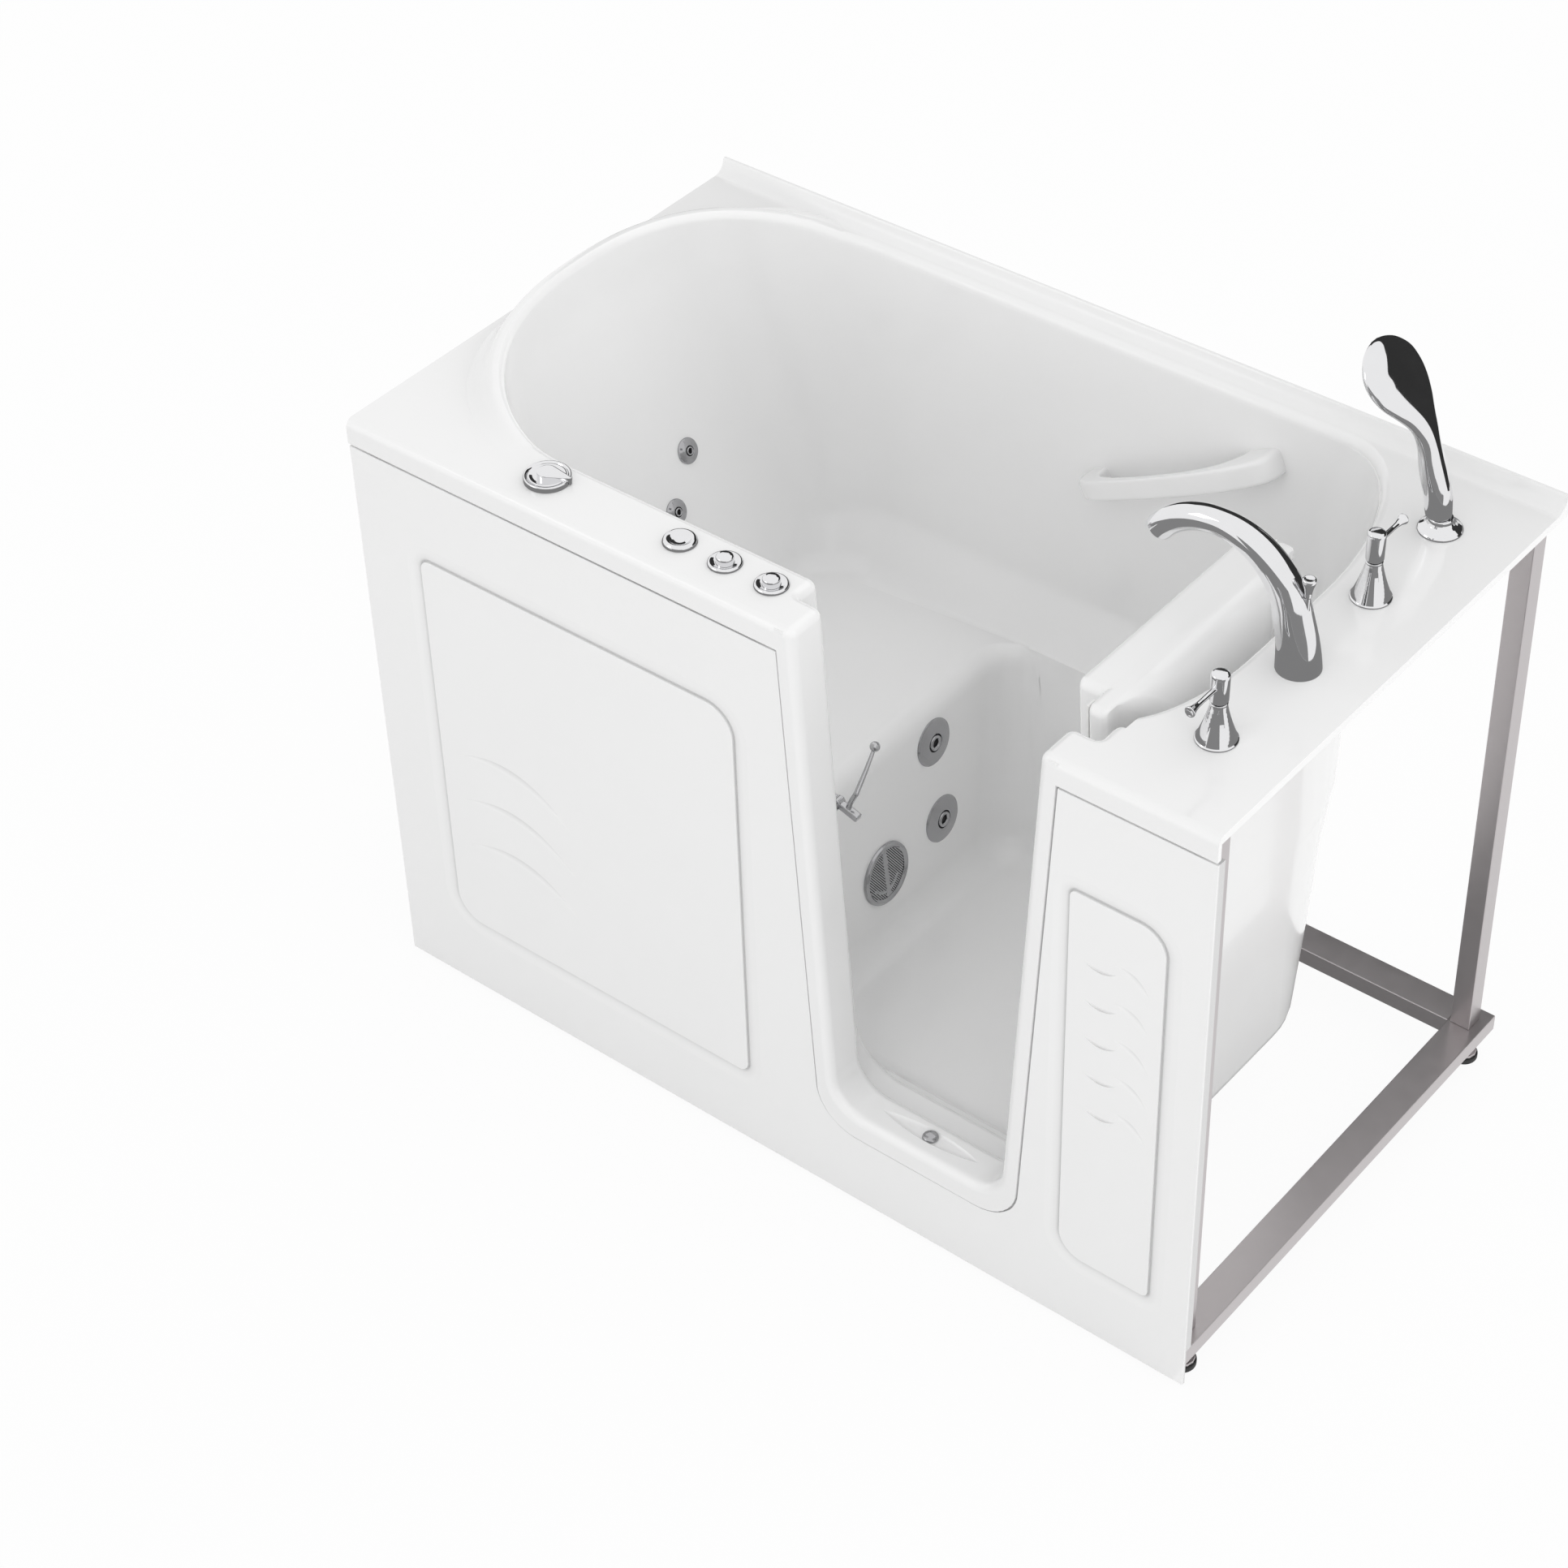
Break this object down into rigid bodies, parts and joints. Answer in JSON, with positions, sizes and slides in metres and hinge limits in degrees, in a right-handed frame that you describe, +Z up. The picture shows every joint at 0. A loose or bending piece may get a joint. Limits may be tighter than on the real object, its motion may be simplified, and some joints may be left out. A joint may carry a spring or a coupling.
{
  "type": "walk-in bathtub",
  "caption": "Deep walk-in bathtub with a moulded seat, an inward swinging side door, tap deck, hand shower, grab bar and water jets on a steel floor frame.",
  "frame": {"origin": "middle of the tub's footprint on the room floor", "axes": "+X from the seat end to the tap end, +Y from the front panel to the wall, +Z up"},
  "size_m": [1.346, 0.77, 1.1808],
  "materials": {
    "acrylic": "gloss",
    "panel_acrylic": "gloss",
    "frame_steel": "brushed",
    "pad_rubber": "matte",
    "seal_rubber": "matte",
    "polished_steel": "polished",
    "chrome": "mirror",
    "brass": "satin",
    "copper": "satin",
    "spray_rubber": "matte",
    "white_pvc": "satin",
    "pump_plastic": "satin",
    "motor_paint": "painted"
  },
  "bodies": {
    "tub": {"tub_shell": "acrylic", "front_panel": "panel_acrylic", "panel_clips": "frame_steel", "rail_front": "frame_steel", "rail_back": "frame_steel", "rail_seat_end": "frame_steel", "rail_tap_end": "frame_steel", "cross_bearers": "frame_steel", "post_front_left": "frame_steel", "post_front_right": "frame_steel", "post_back_left": "frame_steel", "post_back_right": "frame_steel", "foot_stems": "frame_steel", "foot_discs": "frame_steel", "foot_pads": "pad_rubber", "hinge_frame_leaves": "polished_steel", "hinge_pins": "polished_steel", "latch_base": "polished_steel", "spout": "chrome", "spout_tail": "brass", "hot_tap_cone": "chrome", "cold_tap_cone": "chrome", "hot_valve": "brass", "cold_valve": "brass", "tap_pipes": "copper", "shower_cradle": "chrome", "air_dial_base": "chrome", "air_valve": "white_pvc", "deck_cap": "chrome", "button_bezels": "chrome", "button_bellows": "pad_rubber", "riser_jets": "chrome", "back_jets": "chrome", "jet_bodies": "white_pvc", "suction_grille": "chrome", "suction_body": "white_pvc", "sill_drain_cap": "chrome", "floor_drain": "chrome", "drain_tail": "white_pvc", "grab_bar": "acrylic", "pump_tray": "frame_steel", "pump_housing": "pump_plastic", "pump_motor": "motor_paint", "blower": "pump_plastic", "jet_pipes": "white_pvc"},
    "door": {"door_panel": "acrylic", "door_seal": "seal_rubber", "door_keeper": "polished_steel", "hinge_door_leaves": "polished_steel"},
    "latch": {"latch_lever": "polished_steel", "latch_ball": "polished_steel", "latch_pad": "pad_rubber"},
    "hot_lever": {"hot_handle": "chrome"},
    "cold_lever": {"cold_handle": "chrome"},
    "diverter": {"diverter_knob": "chrome"},
    "handset": {"hand_shower": "chrome", "spray_face": "spray_rubber"},
    "air_control": {"air_dial": "chrome"},
    "pump_switch": {"pump_button": "chrome"},
    "blower_switch": {"blower_button": "chrome"}
  },
  "joints": [
    {"name": "door_hinge", "type": "hinge", "parent": "tub", "child": "door", "pos_m": [0.453, -0.288, 0.5], "axis": [0, 0, 1], "range_deg": [0, 90]},
    {"name": "latch_turn", "type": "hinge", "parent": "tub", "child": "latch", "pos_m": [0.027, -0.27, 0.563], "axis": [0, -1, 0], "range_deg": [0, 180]},
    {"name": "hot_turn", "type": "hinge", "parent": "tub", "child": "hot_lever", "pos_m": [0.574, -0.242, 0.987], "axis": [0, 0, -1], "range_deg": [0, 90]},
    {"name": "cold_turn", "type": "hinge", "parent": "tub", "child": "cold_lever", "pos_m": [0.574, 0.088, 0.987], "axis": [0, 0, 1], "range_deg": [0, 90]},
    {"name": "diverter_lift", "type": "slide", "parent": "tub", "child": "diverter", "axis": [0, 0, 1], "range_m": [0, 0.012]},
    {"name": "handset_lift", "type": "slide", "parent": "tub", "child": "handset", "axis": [0, 0, 1], "range_m": [0, 0.15]},
    {"name": "air_turn", "type": "hinge", "parent": "tub", "child": "air_control", "pos_m": [-0.376, -0.325, 0.937], "axis": [0, 0, 1], "range_deg": [-90, 90]},
    {"name": "pump_press", "type": "slide", "parent": "tub", "child": "pump_switch", "axis": [0, 0, -1], "range_m": [0, 0.004], "stiffness_N_per_m": 400, "springref_m": -0.004},
    {"name": "blower_press", "type": "slide", "parent": "tub", "child": "blower_switch", "axis": [0, 0, -1], "range_m": [0, 0.004], "stiffness_N_per_m": 400, "springref_m": -0.004}
  ]
}
